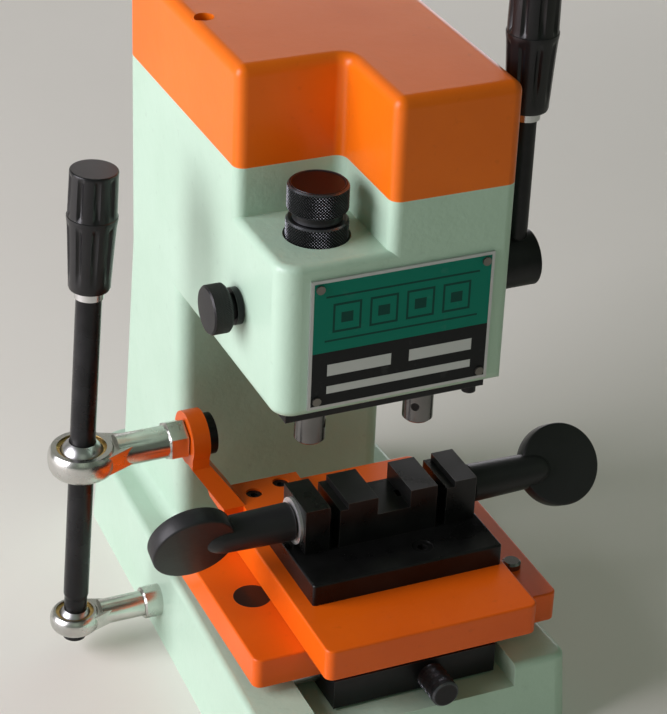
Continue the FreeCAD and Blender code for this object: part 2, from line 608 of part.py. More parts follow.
# Cross slide: a block on two rods in the base's trough carries the lower table
rod_z = slide_low + 7
node("x_guide_rods", group(*[
    rod("+x", (-S.trough_width / 2 - 12, -y, rod_z), S.trough_width + 24, S.x_rod_radius)
    for y in (S.x_rod_front, S.x_rod_rear)]))
slide_x = (S.table_x - S.slide_wide / 2, S.table_x + S.slide_wide / 2)
lock_hole = S.lock_length - 2
node("x_slide_block", cut(
    box(slide_x, (-S.slide_front, -S.slide_rear), (slide_low, lower_low)),
    *[rod("+x", (slide_x[0] - 1, -y, rod_z), S.slide_wide + 2, S.x_rod_radius + S.fit_gap)
      for y in (S.x_rod_front, S.x_rod_rear)],
    rod("+y", (S.lock_x, -S.slide_front - 1, rod_z), lock_hole + 1, 3 + S.fit_gap)))
node("table_lock_screw", turned("-y", [
    (0, S.slide_front - lock_hole + 1), (3, S.slide_front - lock_hole + 1), (3, S.slide_front + 0.3),
    (S.lock_radius, S.slide_front + 0.3), (S.lock_radius, S.slide_front + S.lock_length - 1),
    (S.lock_radius - 1, S.slide_front + S.lock_length), (0, S.slide_front + S.lock_length),
], (S.lock_x, 0, rod_z)))
lower_top = lower_low + S.lower_thick
lower_x = (S.table_x - S.lower_wide / 2, S.table_x + S.lower_wide / 2)
plug_at = (lower_x[0] + 17.3, -S.lower_front + 47.1)
stop_at = (lower_x[1] - 10.9, -S.lower_front + 26.3)


def table(x, y, z, radius):
    """A flat slide plate with rounded corners."""
    body = new_body()
    pad(body, "XY_Plane", [(x[0], y[0]), (x[1], y[0]), (x[1], y[1]), (x[0], y[1])], z[1] - z[0], offset=z[0])
    round_edges(body, radius, lambda m, e: upright(e))
    round_edges(body, 1, lambda m, e: near(m.z, z[1]))
    return body


node("lower_table", cut(
    table(lower_x, (-S.lower_front, -S.lower_rear), (lower_low, lower_top), 4),
    rod("-z", (*plug_at, lower_top + 1), 9, 8.8), rod("-z", (*stop_at, lower_top + 1), 11, 2.5)))
node("table_plug", rod("-z", (*plug_at, lower_top), 8, 8.8 - S.seat_gap))
node("table_stop_screw", turned("+z", [
    (0, -10), (2.5 - S.seat_gap, -10), (2.5 - S.seat_gap, 0), (4.5, 0), (4.5, 2.5), (3.5, 3.5), (0, 3.5)],
    (*stop_at, lower_top)))
rail_xs = (S.table_x - S.rail_spacing / 2, S.table_x + S.rail_spacing / 2)
node("y_guide_rails", group(*[
    box((x - S.rail_wide / 2, x + S.rail_wide / 2), (-S.lower_front + 5, -S.lower_rear - 7),
        (lower_top, lower_top + S.rail_tall)) for x in rail_xs]))

# Long slide: the upper table runs on the rails and carries the vises and the arm to the control lever
upper_low = lower_top + S.table_gap
upper_top = upper_low + S.upper_thick
upper_x = (S.table_x - S.upper_wide / 2, S.table_x + S.upper_wide / 2)
node("upper_table", cut(
    table(upper_x, (-S.upper_front, -S.upper_rear), (upper_low, upper_top), 4),
    *[box((x - S.rail_wide / 2 - S.table_gap, x + S.rail_wide / 2 + S.table_gap), (-S.lower_front - 8, 5),
          (upper_low - 1, upper_low + S.rail_tall)) for x in rail_xs]))
vise_top = upper_top + S.vise_thick
jaw_top = vise_top + S.jaw_rise
jaw_screw_z = vise_top + S.jaw_screw_rise
arm_top = upper_top + S.arm_rise
core_half = S.nose_spacing / 2 - S.slot_wide / 2
core_x = (S.vise_x - core_half, S.vise_x + core_half)
jaw_y = (-S.jaw_front, -S.jaw_rear)
jaw_mid = (-S.jaw_front - S.jaw_rear) / 2
step_x = (core_x[0] + 18.7, core_x[1] - 13.4)
screw_at = (S.vise_x + 12, -S.vise_front + 12)
bores = [rod(side, (x, jaw_mid, jaw_screw_z), 16, S.jaw_screw_radius + 0.1)
         for side, x in (("+x", core_x[0] - 1), ("-x", core_x[1] + 1))]
node("vise_body", cut(
    fuse(table((S.vise_x - S.vise_wide / 2, S.vise_x + S.vise_wide / 2), (-S.vise_front, -S.vise_rear),
               (upper_top, vise_top), S.vise_corner),
         box(core_x, jaw_y, (vise_top - 1, jaw_top))),
    box(step_x, (jaw_y[0] - 1, jaw_y[1] + 1), (jaw_top - S.core_ledge, jaw_top + 1)),
    box((core_x[0] - 1, core_x[0] + S.seat_wide), (jaw_y[0] - 1, jaw_y[1] + 1),
        (jaw_top - S.seat_deep, jaw_top + 1)),
    *bores, rod("-z", (*screw_at, vise_top + 1), S.vise_thick + 2, S.vise_screw_radius),
    rod("-z", (*screw_at, vise_top + 1), S.vise_head_deep + 1, S.vise_head_radius + S.seat_gap)))
node("vise_screw", cut(
    fuse(rod("-z", (*screw_at, vise_top - 1), S.vise_thick - 1.8, S.vise_screw_radius - S.seat_gap),
         rod("-z", (*screw_at, vise_top - 0.5), S.vise_head_deep - 0.5, S.vise_head_radius)),
    prism("+z", (*screw_at, vise_top - 3), 5, 2.6)))
jaw_low = vise_top + S.table_gap


def jaw(low, high, seat):
    """A moving jaw, with a low seat for the key's edge where one is given, and a bore for its screw."""
    tools = [rod("+x", (low - 1, jaw_mid, jaw_screw_z), high - low + 2, S.jaw_screw_radius + 0.1)]
    if seat is not None:
        tools.append(box((low - 1, low + seat), (jaw_y[0] - 1, jaw_y[1] + 1),
                         (jaw_top - S.seat_deep, jaw_top + 1)))
    return cut(box((low, high), jaw_y, (jaw_low, jaw_top)), *tools)


def wing(side, face, thick, turn):
    """A clamp screw with a wide neck and a flat paddle to grip."""
    sign = 1 if side == "+x" else -1
    tip = face - sign * (thick + S.slot_wide + 10)
    start = face + sign * 1.8
    neck = S.wing_reach - 8
    screw = rod(side, (tip, jaw_mid, jaw_screw_z), thick + S.slot_wide + 14, S.jaw_screw_radius)
    barrel = rod(side, (start, jaw_mid, jaw_screw_z), neck, S.wing_neck)
    paddle = doc.addObject("Part::Cylinder", "Paddle")
    lean = FreeCAD.Rotation(V(1, 0, 0), turn) * TURNS["-y"]
    paddle.Placement = FreeCAD.Placement(V(), lean)
    bind(paddle, {"Radius": S.wing_radius, "Height": S.wing_thick})
    facing = lean.multVec(V(0, 0, 1))
    place(paddle, face + sign * S.wing_reach, jaw_mid - S.wing_thick / 2 * facing.y,
          jaw_screw_z - S.wing_thick / 2 * facing.z)
    return fuse(screw, barrel, paddle)


left_face = core_x[0] - S.slot_wide - S.jaw_thick
right_face = core_x[1] + S.slot_wide + S.right_jaw_thick
node("left_jaw", jaw(left_face, core_x[0] - S.slot_wide, None))
node("right_jaw", jaw(core_x[1] + S.slot_wide, right_face, S.seat_wide))
node("left_wing_knob", wing("-x", left_face, S.jaw_thick, float(S.left_wing_turn)))
node("right_wing_knob", wing("+x", right_face, S.right_jaw_thick, float(S.right_wing_turn)))
node("left_washer", tube("-x", (left_face, jaw_mid, jaw_screw_z), 1.5, 11, S.jaw_screw_radius + 0.1))

# Control lever with its two ball ends, leaning with the table's resting place
foot_x = -S.lever_foot_x
eye_x = foot_x + S.lever_shift
eye_z = S.lower_eye_z + S.eye_rise
eye_y = -S.lever_y


def ball(centre, radius):
    piece = doc.addObject("Part::Sphere", "Ball")
    bind(piece, {"Radius": radius})
    return place(piece, *centre)


def rod_end(centre, ring, inside, wide, reach, shank):
    """An eye with a round seat inside and a shank towards the machine."""
    x, y, z = centre
    return cut(fuse(rod("+z", (x, y, z - wide / 2), wide, ring),
                    rod("+x", (x + ring - 2, y, z), reach - ring + 2, shank)), ball(centre, inside))


def race(centre, outer, inside, wide):
    x, y, z = centre
    common = doc.addObject("Part::MultiCommon", "Slice")
    common.Shapes = [ball(centre, outer), rod("+z", (x, y, z - wide * 0.4), wide * 0.8, outer + 1)]
    return cut(common, ball(centre, inside))


def leaning(piece, rise):
    """Leans a piece made at the origin along the lever's line, at a height above its foot."""
    piece.Placement = FreeCAD.Placement(V(), FreeCAD.Rotation(V(0, 1, 0), 1))
    piece.setExpression("Placement.Rotation.Angle", "atan(Sizes.lever_shift / Sizes.eye_rise)")
    return place(piece, foot_x + S.lever_shift / S.eye_rise * rise, eye_y, S.lower_eye_z + rise)


play = S.slide_gap / 2
foot = (foot_x, eye_y, S.lower_eye_z)
eye = (eye_x, eye_y, eye_z)
side_x = -S.base_front_width / 2 + 1.5
pad_disc = rod("+x", (side_x - 6.4, eye_y, S.lower_eye_z), S.foot_collar_long, S.foot_collar)
node("rod_end_lower", cut(fuse(
    rod_end(foot, S.lower_ring, S.lower_ball_radius + S.race_thick + play, S.ring_wide,
            side_x - 3 - foot_x, 6.5),
    pad_disc), frame))
node("lower_race", race(foot, S.lower_ball_radius + S.race_thick, S.lower_ball_radius + play, S.ring_wide))
node("lower_ball", cut(
    ball(foot, S.lower_ball_radius), leaning(rod("+z", (0, 0, 0), 40, S.lever_neck + S.seat_gap), -20)))
stem = S.eye_rise + S.collar_rise
node("control_rod", leaning(turned("+z", [
    (0, -S.lever_end), (S.lever_neck, -S.lever_end), (S.lever_neck, 13), (S.lever_radius, 15),
    (S.lever_radius, stem + grip_bore), (0, stem + grip_bore)], (0, 0, 0)), 0))
node("control_collar", leaning(
    tube("+z", (0, 0, 0), S.collar_tall, S.collar_radius + 0.5, S.lever_radius + S.seat_gap), stem))
node("control_grip", leaning(grip(S.lever_radius + S.seat_gap, (0, 0, 0)), stem + S.collar_tall))
upper_wide = S.ring_wide * 4 / 3
arm_left = -S.arm_x - S.arm_thick
node("rod_end_upper", fuse(
    rod_end(eye, S.upper_ring, S.upper_ball_radius + S.race_thick + play, upper_wide, arm_left - eye_x, 7),
    prism("-x", (arm_left, eye_y, eye_z), 10, 10),
    rod("+x", (arm_left - 1, eye_y, eye_z), S.arm_thick + 6, 5)))
node("upper_race", race(eye, S.upper_ball_radius + S.race_thick, S.upper_ball_radius + play, upper_wide))
node("upper_ball", cut(
    ball(eye, S.upper_ball_radius),
    leaning(rod("+z", (0, 0, 0), 60, S.lever_radius + S.slide_gap), S.eye_rise - 30)))
leg_side = new_body()
pad(leg_side, "YZ_Plane", [
    (-S.leg_front, upper_top), (-S.upper_rear, upper_top), (eye_y + S.arm_eye - 3, upper_top + 14),
    (eye_y + S.arm_eye - 1, eye_z), (eye_y - S.arm_eye + 1, eye_z),
    (eye_y - S.arm_eye + 2, eye_z - S.leg_drop), (-S.leg_front, arm_top),
], -S.leg_right - arm_left, offset=arm_left)
leg_end = new_body()
pad(leg_end, "XZ_Plane", [
    (arm_left, eye_z), (arm_left, eye_z - S.leg_drop), (-S.leg_left, arm_top), (-S.leg_left, upper_top),
    (-S.leg_right, upper_top), (-S.leg_right, arm_top), (-S.arm_x, eye_z - S.leg_drop + 1.4),
    (-S.arm_x, eye_z),
], S.leg_front * 4, middle=True)
leg = doc.addObject("Part::MultiCommon", "Slope")
leg.Shapes = [leg_side, leg_end]
arm_bolts = [(-31.9, -20.3), (-16.5, -16)]
node("table_arm", cut(
    fuse(leg, rod("+x", (arm_left, eye_y, eye_z), S.arm_thick, S.arm_eye),
         box((-S.leg_right - 1, -S.arm_right), (-36, -S.upper_rear), (upper_top, arm_top))),
    rod("+x", (arm_left - 1, eye_y, eye_z), S.arm_thick + 2, 5 + S.seat_gap),
    *[rod("+z", (x, y, upper_top - 1), 12, S.arm_hole + S.seat_gap) for x, y in arm_bolts]))
node("arm_screws", group(*[
    cut(rod("+z", (x, y, upper_top), S.arm_rise - 1.2, S.arm_hole),
        prism("+z", (x, y, upper_top + 1.2), 9, 2))
    for x, y in arm_bolts]))
node("arm_nut", tube("+x", (-S.arm_x, eye_y, eye_z), 5, 10, 5 + S.seat_gap))

# Mains inlet on the back of the head
inlet_low = S.head_bottom + S.inlet_rise
inlet_top = inlet_low + S.inlet_tall
socket_half = S.inlet_wide / 2 - S.inlet_wall
node("power_inlet", cut(
    box((-S.inlet_wide / 2, S.inlet_wide / 2), (S.head_rear, S.head_rear + 6), (inlet_low, inlet_top)),
    box((-socket_half, socket_half), (S.head_rear + 1.5, S.head_rear + 7),
        (inlet_low + S.inlet_wall, inlet_top - S.inlet_wall))))

# Check every object, then write one file for each piece
doc.recompute()
for item in doc.Objects:
    if "Invalid" in item.State or "Error" in item.State:
        raise RuntimeError(f"{item.Name} failed: {item.State}")
for piece in NODES:
    if piece.Shape.isNull() or not piece.Shape.isValid() or piece.Shape.Volume <= 0:
        raise RuntimeError(f"{piece.Label} is not a sound solid")
os.makedirs("parts", exist_ok=True)
for piece in NODES:
    piece.Shape.exportStep(f"parts/{piece.Label}.step")
print(len(NODES), "pieces written")
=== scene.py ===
import bmesh
import bpy
import json
import math
from mathutils import Matrix, Vector


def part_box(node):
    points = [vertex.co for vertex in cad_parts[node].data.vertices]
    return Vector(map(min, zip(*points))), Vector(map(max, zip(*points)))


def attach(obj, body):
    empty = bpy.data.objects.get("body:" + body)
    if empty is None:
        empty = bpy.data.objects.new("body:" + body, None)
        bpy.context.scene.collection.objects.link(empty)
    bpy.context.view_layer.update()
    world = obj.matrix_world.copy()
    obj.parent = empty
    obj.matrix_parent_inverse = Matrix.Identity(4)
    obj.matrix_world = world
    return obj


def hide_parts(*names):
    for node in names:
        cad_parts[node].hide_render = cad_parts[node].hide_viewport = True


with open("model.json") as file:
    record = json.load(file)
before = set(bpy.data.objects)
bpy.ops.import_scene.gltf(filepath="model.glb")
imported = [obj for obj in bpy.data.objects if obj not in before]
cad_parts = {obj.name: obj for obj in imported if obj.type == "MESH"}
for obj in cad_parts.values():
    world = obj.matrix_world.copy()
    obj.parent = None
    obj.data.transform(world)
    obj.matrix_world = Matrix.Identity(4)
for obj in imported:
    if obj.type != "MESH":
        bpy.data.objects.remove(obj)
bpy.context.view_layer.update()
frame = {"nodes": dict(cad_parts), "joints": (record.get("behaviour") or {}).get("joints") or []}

# Frame casting: base, column and head poured in one piece of iron, its sand skin filled and painted
# in a pale mint green that keeps a faint pebbled grain and wears thin along the edges.


class Field:
    """A value or colour that changes over a surface; arithmetic on values adds its Math nodes."""

    def __init__(self, shader, socket):
        self.shader = shader
        self.socket = socket

    def math(self, operation, first, second):
        return self.shader.add("ShaderNodeMath", {"operation": operation}, {0: first, 1: second})

    def __add__(self, other):
        return self.math("ADD", self, other)

    def __sub__(self, other):
        return self.math("SUBTRACT", self, other)

    def __mul__(self, other):
        return self.math("MULTIPLY", self, other)

    def __rsub__(self, other):
        return self.math("SUBTRACT", other, self)

    def __gt__(self, other):
        return self.math("GREATER_THAN", self, other)

    def __lt__(self, other):
        return self.math("LESS_THAN", self, other)

    __radd__ = __add__
    __rmul__ = __mul__


class Shader:
    """One material with its principled surface."""

    def __init__(self, name, **constants):
        self.material = bpy.data.materials.new(name)
        self.material.use_nodes = True
        self.tree = self.material.node_tree
        self.surface = self.tree.nodes["Principled BSDF"]
        for socket, value in constants.items():
            self.surface.inputs[socket.replace("_", " ")].default_value = value

    def add(self, kind, settings=None, inputs=None, output=0):
        """Adds a node, sets it up, feeds its sockets and gives back one of its outputs."""
        made = self.tree.nodes.new(kind)
        for name, value in (settings or {}).items():
            if name == "stops":
                for element, (place, colour) in zip(made.color_ramp.elements, value):
                    element.position = place
                    element.color = (*colour, 1)
            else:
                setattr(made, name, value)
        for name, value in (inputs or {}).items():
            if isinstance(value, Field):
                self.tree.links.new(value.socket, made.inputs[name])
            else:
                made.inputs[name].default_value = value
        return Field(self, made.outputs[output])

    def set(self, **fields):
        for name, field in fields.items():
            self.tree.links.new(field.socket, self.surface.inputs[name.replace("_", " ")])

    def place(self):
        return self.add("ShaderNodeTexCoord", output="Object")

    def noise(self, scale, detail=3.0, rough=0.55):
        inputs = {"Vector": self.place(), "Scale": scale, "Detail": detail, "Roughness": rough}
        return self.add("ShaderNodeTexNoise", {}, inputs)

    def waves(self, scale, **shape):
        """Even lines one above the other, along the height of the object."""
        inputs = {"Vector": self.place(), "Scale": scale, **shape}
        return self.add("ShaderNodeTexWave", {"bands_direction": "Z"}, inputs)

    def ramp(self, value, low, high):
        """Nothing up to the low value, one from the high value on."""
        stops = [(low, (0, 0, 0)), (high, (1, 1, 1))]
        return self.add("ShaderNodeValToRGB", {"stops": stops}, {"Fac": value})

    def mix(self, amount, first, last):
        feeds = {0: amount, 6: first if isinstance(first, Field) else (*first, 1)}
        feeds[7] = last if isinstance(last, Field) else (*last, 1)
        return self.add("ShaderNodeMix", {"data_type": "RGBA"}, feeds, output=2)

    def bump(self, height, strength, distance):
        inputs = {"Height": height, "Strength": strength, "Distance": distance}
        self.set(Normal=self.add("ShaderNodeBump", {}, inputs))

    def edges(self, radius):
        """One along sharp edges, falling to nothing on open faces."""
        soft = self.add("ShaderNodeBevel", {"samples": 4}, {"Radius": radius})
        true = self.add("ShaderNodeNewGeometry", output="Normal")
        feeds = {0: soft, 1: true}
        return 1 - self.add("ShaderNodeVectorMath", {"operation": "DOT_PRODUCT"}, feeds, output="Value")


def painted(name, colour, deep, rough, grain, shine=0.28):
    """Enamel over a casting: mottled colour, pebbled relief, rubbed edges and a thin gloss."""
    pitted = tuple(c * 0.55 for c in colour)
    rubbed = tuple(min(1, c * 1.25 + 0.05) for c in colour)
    paint = Shader(name, Specular_IOR_Level=shine, Coat_Roughness=0.2)
    cloud = paint.noise(scale=14, detail=4)
    shade = paint.mix(paint.ramp(cloud, low=0.35, high=0.7), colour, deep)
    grit = paint.ramp(paint.noise(scale=210, detail=2), low=0.66, high=0.78)
    shade = paint.mix(grit * 0.18, shade, pitted)
    rub = paint.ramp(paint.edges(radius=0.0012) * paint.noise(scale=90), low=0.05, high=0.16)
    shade = paint.mix(rub * 0.35, shade, rubbed)
    paint.set(Base_Color=shade, Roughness=rough + (cloud - 0.5) * 0.2, Coat_Weight=0.08 - rub * 0.06)
    pebbles = paint.noise(scale=150, detail=2) + paint.noise(scale=560, detail=2) * 0.35
    paint.bump(pebbles, strength=grain, distance=0.0005)
    return paint.material


def dress(material, *names, edge=0.0):
    """Gives CAD pieces their finish, with a small broken edge where the real piece has one."""
    for name in names:
        piece = frame["nodes"][name]
        piece.data.materials.clear()
        piece.data.materials.append(material)
        for face in piece.data.polygons:
            face.material_index = 0
        if edge:
            bevel = piece.modifiers.new("broken_edge", "BEVEL")
            bevel.width = edge
            bevel.segments = 2
            bevel.limit_method = "ANGLE"
            bevel.angle_limit = math.radians(40)
            bevel.harden_normals = False


mint = painted("mint_casting_paint", colour=(0.475, 0.645, 0.515), deep=(0.435, 0.60, 0.47),
               rough=0.36, grain=0.4, shine=0.42)
dress(mint, "frame_casting", edge=0.0006)

# Top cover: a cast lid over the belt, sprayed bright orange, smoother than the frame below it
# and held by two socket screws sunk in deep round holes.
orange = painted("orange_cover_paint", colour=(0.84, 0.165, 0.004), deep=(0.77, 0.14, 0.003),
                 rough=0.36, grain=0.12)
dress(orange, "top_cover", edge=0.0006)


def blackened(name, colour, rough, wear):
    """Oil-blacked steel: nearly black, with fine machining lines and bright rubbed edges."""
    bloom = tuple(c * 1.7 + 0.004 for c in colour)
    bare = (0.35, 0.34, 0.33)
    steel = Shader(name, Specular_IOR_Level=0.38)
    patch = steel.noise(scale=60, detail=4)
    lines = steel.waves(scale=900.0, Distortion=1.5, Detail=1.0)
    rub = steel.ramp(steel.edges(radius=0.0007) * (steel.noise(scale=140) + 0.3), low=0.04, high=0.2)
    shade = steel.mix(steel.ramp(patch, low=0.35, high=0.7), colour, bloom)
    shade = steel.mix(rub * wear, shade, bare)
    steel.set(Base_Color=shade, Roughness=rough + (patch - 0.5) * 0.25, Metallic=0.35 + rub * 0.6)
    steel.bump(lines * 0.3 + patch, strength=0.12, distance=0.0002)
    return steel.material


black_steel = blackened("black_oxide_steel", colour=(0.008, 0.008, 0.009), rough=0.38, wear=0.25)
dress(black_steel, "frame_screws")

# Bottom plate: a flat steel sheet that closes the base from below, ground and lightly stained,
# with its edges broken.


def bright(name, colour, rough, grain):
    """Bare or plated metal with a fine grain, soft stains and a metallic sheen."""
    stained = tuple(c * 0.72 for c in colour)
    metal = Shader(name, Metallic=1.0)
    stain = metal.noise(scale=45, detail=5, rough=0.6)
    fine = metal.noise(scale=600, detail=2)
    shade = metal.mix(metal.ramp(stain, low=0.35, high=0.72), colour, stained)
    metal.set(Base_Color=shade, Roughness=rough + (stain - 0.5) * 0.3)
    metal.bump(fine + stain, strength=grain, distance=0.0002)
    return metal.material


plain_steel = bright("ground_steel", colour=(0.56, 0.56, 0.57), rough=0.32, grain=0.12)
dress(plain_steel, "bottom_plate", edge=0.0004)

# Name plate: thin printed aluminium on four rivets. A green band with a plain row of squares lies
# above a black field with pale empty boxes, inside a bare silver rim.
SIDE_RIM = 0.016
END_RIM = 0.022
BAND_FOOT = 0.44
RULE_LEFT = 0.08
RULE_THICK = 0.015
SQUARES = 4
FIRST_SQUARE = 0.12
SQUARE_STEP = 0.2
SQUARE_WIDE = 0.155
silver = (0.55, 0.56, 0.56)
band_green = (0.0, 0.17, 0.115)
dark_green = (0.002, 0.055, 0.042)
black_ink = (0.012, 0.013, 0.014)
box_silver = (0.55, 0.57, 0.56)
scuffed = (0.4, 0.42, 0.41)
plate_low, plate_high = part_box("name_plate")
plate = Shader("printed_plate", Specular_IOR_Level=0.16)
along = plate.add("ShaderNodeSeparateXYZ", {}, {"Vector": plate.place()}, output="X")
height = plate.add("ShaderNodeSeparateXYZ", {}, {"Vector": plate.place()}, output="Z")
across = (along - plate_low[0]) * (1 / (plate_high[0] - plate_low[0]))
up = (height - plate_low[2]) * (1 / (plate_high[2] - plate_low[2]))


def window(left, right, low, high):
    """One inside a rectangle of the plate, given as parts of its width and height."""
    return (across > left) * (across < right) * (up > low) * (up < high)


def rule(low):
    """A thin line across the green band."""
    return window(RULE_LEFT, 1 - RULE_LEFT, low, low + RULE_THICK)


def square(left, inset, low, high):
    """One inside a square of the row, drawn in from its two sides."""
    return window(left + inset, left + SQUARE_WIDE - inset, low, high)


green = window(SIDE_RIM, 1 - SIDE_RIM, BAND_FOOT, 1 - END_RIM)
ink = window(SIDE_RIM, 1 - SIDE_RIM, END_RIM, BAND_FOOT)
motif = rule(low=0.52) + rule(low=0.86)
for i in range(SQUARES):
    left = FIRST_SQUARE + i * SQUARE_STEP
    hole = square(left, inset=0.012, low=0.603, high=0.792)
    motif = motif + square(left, inset=0, low=0.585, high=0.81) * (1 - hole)
    motif = motif + square(left, inset=0.045, low=0.655, high=0.735)
boxes = window(left=0.10, right=0.45, low=0.25, high=0.34)
boxes = boxes + window(left=0.55, right=0.90, low=0.25, high=0.34)
boxes = boxes + window(left=0.10, right=0.90, low=0.11, high=0.17)
worn = plate.noise(scale=120, detail=4)
print_colour = plate.mix(green, silver, band_green)
print_colour = plate.mix(ink, print_colour, black_ink)
print_colour = plate.mix(motif * green, print_colour, dark_green)
print_colour = plate.mix(boxes * ink, print_colour, box_silver)
print_colour = plate.mix(plate.ramp(worn, low=0.62, high=0.8) * 0.06, print_colour, scuffed)
rim = 1 - (green + ink)
plate.set(Base_Color=print_colour, Metallic=rim * 0.9 + boxes * ink * 0.4, Roughness=0.38 + worn * 0.15)
plate.bump(rim * 0.6 + worn * 0.2, strength=0.15, distance=0.0003)
dress(plate.material, "name_plate", edge=0.0003)
rivet_steel = bright("tarnished_rivet", colour=(0.20, 0.19, 0.17), rough=0.4, grain=0.2)
dress(rivet_steel, "plate_rivets", edge=0.0004)

# Drive inside the head: a can motor, turned wheels and a flat rubber belt, out of sight under the lid.
# The guide columns, the carrier, its rack and pinion and the bearings are ground steel; the bush is brass.
brass = bright("brass_ring", colour=(0.70, 0.47, 0.17), rough=0.3, grain=0.1)
dress(black_steel, "motor", edge=0.0005)
dress(plain_steel, "motor_shaft", "motor_pulley", "spindle_pulley", "guide_columns", "carrier_block",
      "carrier_rack", "spindle_bearings", "pinion_shaft", edge=0.0003)
dress(brass, "pinion_bush")
dark_rubber = (0.012, 0.012, 0.012)
dusty_rubber = (0.03, 0.03, 0.03)
belt = Shader("belt_rubber", Specular_IOR_Level=0.3)
weave = belt.waves(scale=400.0)
belt.set(Base_Color=belt.mix(weave, dark_rubber, dusty_rubber), Roughness=0.6 + weave * 0.2)
belt.bump(weave, strength=0.3, distance=0.0003)
dress(belt.material, "drive_belt")

# Tool noses under the head: two ground steel holders browned by oil, each with a small socket set screw,
# passing a blackened plate that closes the slide's opening.
nose_steel = bright("oiled_nose_steel", colour=(0.19, 0.185, 0.18), rough=0.22, grain=0.1)
dress(nose_steel, "cutter_spindle", "tracer_spindle", edge=0.0004)
dress(black_steel, "carrier_plate", "plate_stop_screw", edge=0.0005)
dress(black_steel, "cutter_set_screw", "tracer_set_screw")

# Tracer adjuster: a knurled steel knob above a knurled lock ring, both oil-blacked,
# the diamond knurl rolled between plain chamfers, its tips painted lighter: partly wear, partly a painted
# glint.
KNURLS = 60
KNURL_DEEP = 0.0008
TURNS = 360
CHAMFER = 0.0009
CHAMFER_EASE = 0.0002
FACE_INSET = 0.0015
KNOB_NECK = 0.011
NECK_TALL = 0.0038
KNURL_FOOT = 0.004
RIM_INSET = 0.0016
DISH_INSET = 0.0022
DISH = 0.0002
oil_black = (0.006, 0.006, 0.007)
worn_and_glinting_tip_steel = (0.17, 0.175, 0.19)
knurled = Shader("knurled_black_steel", Specular_IOR_Level=0.45)
# Lighter colour on the most pointed vertices, the knurl tips: partly wear, partly a painted glint; the
# grooves keep the plain oil-black.
tips = knurled.ramp(knurled.add("ShaderNodeNewGeometry", output="Pointiness"), low=0.515, high=0.585)
tip_wear_and_glint_noise = knurled.noise(scale=180)
knurled.set(Base_Color=knurled.mix(tips * (0.35 + tip_wear_and_glint_noise), oil_black, worn_and_glinting_tip_steel),
            Roughness=0.36 - tips * 0.12, Metallic=0.35 + tips * 0.6)


def shown(name, mesh):
    """A finished mesh as a piece of the scene, smooth but for its sharp edges."""
    mesh.shade_smooth()
    mesh.set_sharp_from_angle(angle=math.radians(32))
    piece = bpy.data.objects.new(name, mesh)
    bpy.context.collection.objects.link(piece)
    return piece


def lathe(name, rings, segments, relief, where):
    """A turned piece from (radius, height, relief share) rings; relief sinks the skin by angle and height."""
    mesh = bpy.data.meshes.new(name)
    shape = bmesh.new()
    loops = []
    for radius, height, share in rings:
        loop = []
        for i in range(segments):
            angle = 2 * math.pi * i / segments
            reach = radius - share * relief(angle, height)
            spot = Vector((reach * math.cos(angle), reach * math.sin(angle), height))
            loop.append(shape.verts.new(where @ spot))
        loops.append(loop)
    for first, second in zip(loops, loops[1:]):
        for i in range(segments):
            j = (i + 1) % segments
            shape.faces.new((first[i], first[j], second[j], second[i]))
    for loop, height, turn in ((loops[0], rings[0][1], 1), (loops[-1], rings[-1][1], -1)):
        middle = shape.verts.new(where @ Vector((0, 0, height)))
        for i in range(segments):
            j = (i + 1) % segments
            shape.faces.new((middle, loop[j], loop[i]) if turn > 0 else (middle, loop[i], loop[j]))
    shape.normal_update()
    shape.to_mesh(mesh)
    shape.free()
    return shown(name, mesh)


def finish(piece, material, body, slot, *nodes):
    """Puts a new piece in place of its CAD solid, on the body that carries it."""
    piece.data.materials.append(material)
    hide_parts(*nodes)
    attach(piece, body)


def knurl(count, radius, depth):
    """Crossed rolled grooves, as many round the piece as asked."""
    lean = count / 2 / radius

    def relief(angle, height):
        first = abs(math.sin(count / 2 * angle + lean * height))
        second = abs(math.sin(count / 2 * angle - lean * height))
        return depth * (1 - min(first, second))
    return relief


def drum(radius, low, high):
    """The two end rings of a plain cylinder."""
    return [(radius, low, 0), (radius, high, 0)]


def knurled_band(radius, low, high, steps):
    """Rings of a knurled cylinder between chamfers."""
    start = low + CHAMFER
    rise = (high - low - 2 * CHAMFER) / steps
    rings = [(radius - CHAMFER, low, 0), (radius - CHAMFER_EASE, start - CHAMFER_EASE, 0)]
    rings += [(radius, start + rise * i, 1) for i in range(steps + 1)]
    rings += [(radius - CHAMFER_EASE, high - CHAMFER + CHAMFER_EASE, 0), (radius - CHAMFER, high, 0)]
    return rings + [(radius - FACE_INSET, high, 0)]


low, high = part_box("tracer_knob")
centre = Matrix.Translation(((low[0] + high[0]) / 2, (low[1] + high[1]) / 2, 0))
knob_radius = (high[0] - low[0]) / 2
knob_rings = drum(KNOB_NECK, low[2], low[2] + NECK_TALL)
knob_rings += knurled_band(knob_radius, low[2] + KNURL_FOOT, high[2], steps=64)
knob_rings += [(knob_radius - RIM_INSET, high[2] + DISH, 0), (knob_radius - DISH_INSET, high[2] - DISH, 0)]
knob = lathe("tracer_knob_knurled", knob_rings, TURNS, knurl(KNURLS, knob_radius, KNURL_DEEP), centre)
finish(knob, knurled.material, "tracer_adjuster", "black_steel", "tracer_knob")
low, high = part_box("tracer_lock_ring")
ring_radius = (high[0] - low[0]) / 2
ring_band = knurled_band(ring_radius, low[2], high[2], steps=88)
ring = lathe("tracer_lock_ring_knurled", ring_band, TURNS, knurl(KNURLS, ring_radius, KNURL_DEEP), centre)
finish(ring, knurled.material, "tracer_lock", "black_steel", "tracer_lock_ring")

